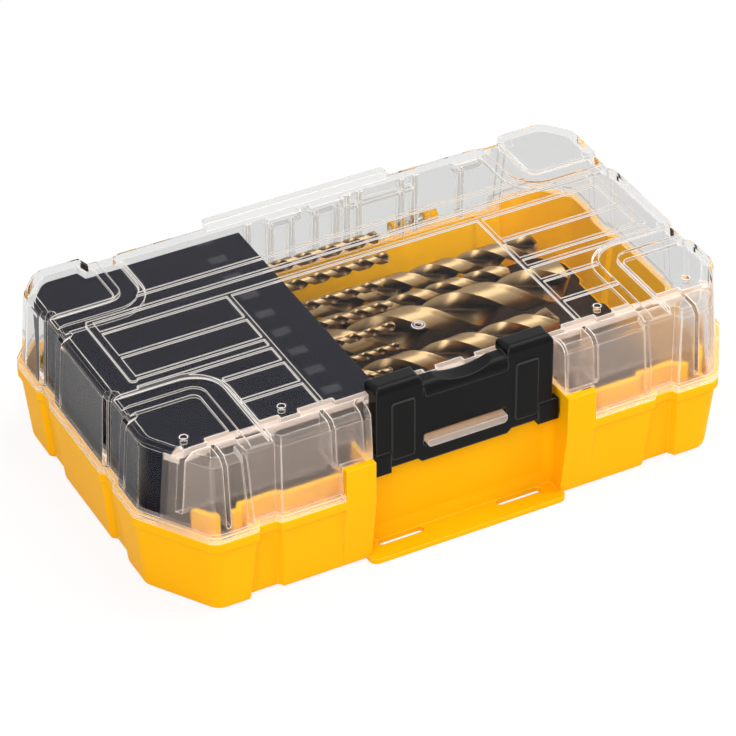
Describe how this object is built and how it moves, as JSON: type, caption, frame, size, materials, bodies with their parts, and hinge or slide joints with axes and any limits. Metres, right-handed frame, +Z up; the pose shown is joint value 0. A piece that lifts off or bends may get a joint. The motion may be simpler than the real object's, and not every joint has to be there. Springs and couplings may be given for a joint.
{
  "type": "drill bit case",
  "caption": "Drill bit case: yellow tub, clear hinged lid with stiffening beads, black front latch, and gold twist bits held in a black holder.",
  "frame": {"origin": "middle of the case's flat underside, on the table under the middle of the tub", "axes": "+X to the right along the long side, +Y from the latch at the front towards the hinge at the rear, +Z up"},
  "size_m": [0.19, 0.1179, 0.0567],
  "materials": {
    "tub_yellow": "satin",
    "lid_clear": "gloss",
    "latch_black": "satin",
    "holder_black": "satin",
    "liner_dark": "matte",
    "titanium_gold": "polished",
    "pin_steel": "satin"
  },
  "bodies": {
    "tub": {"base_tub": "tub_yellow", "bit_holder": "holder_black", "floor_liner": "liner_dark", "hinge_pin_left": "pin_steel", "hinge_pin_right": "pin_steel", "bit_3_16": "titanium_gold", "bit_7_32": "titanium_gold", "bit_3_8": "titanium_gold", "bit_1_2": "titanium_gold", "bit_5_16": "titanium_gold", "bit_1_4": "titanium_gold", "bit_1_16": "titanium_gold", "bit_5_64": "titanium_gold", "bit_3_32": "titanium_gold", "bit_7_64": "titanium_gold", "bit_1_8_a": "titanium_gold", "bit_1_8_b": "titanium_gold", "bit_9_64": "titanium_gold", "bit_5_32": "titanium_gold"},
    "lid": {"lid": "lid_clear"},
    "latch": {"latch": "latch_black"}
  },
  "joints": [
    {"name": "lid_hinge", "type": "hinge", "parent": "tub", "child": "lid", "pos_m": [0, 0.0582, 0.0262], "axis": [-1, 0, 0], "range_deg": [0, 175]},
    {"name": "latch_pivot", "type": "hinge", "parent": "tub", "child": "latch", "pos_m": [0, -0.0499, 0.0296], "axis": [1, 0, 0], "range_deg": [0, 175]}
  ]
}
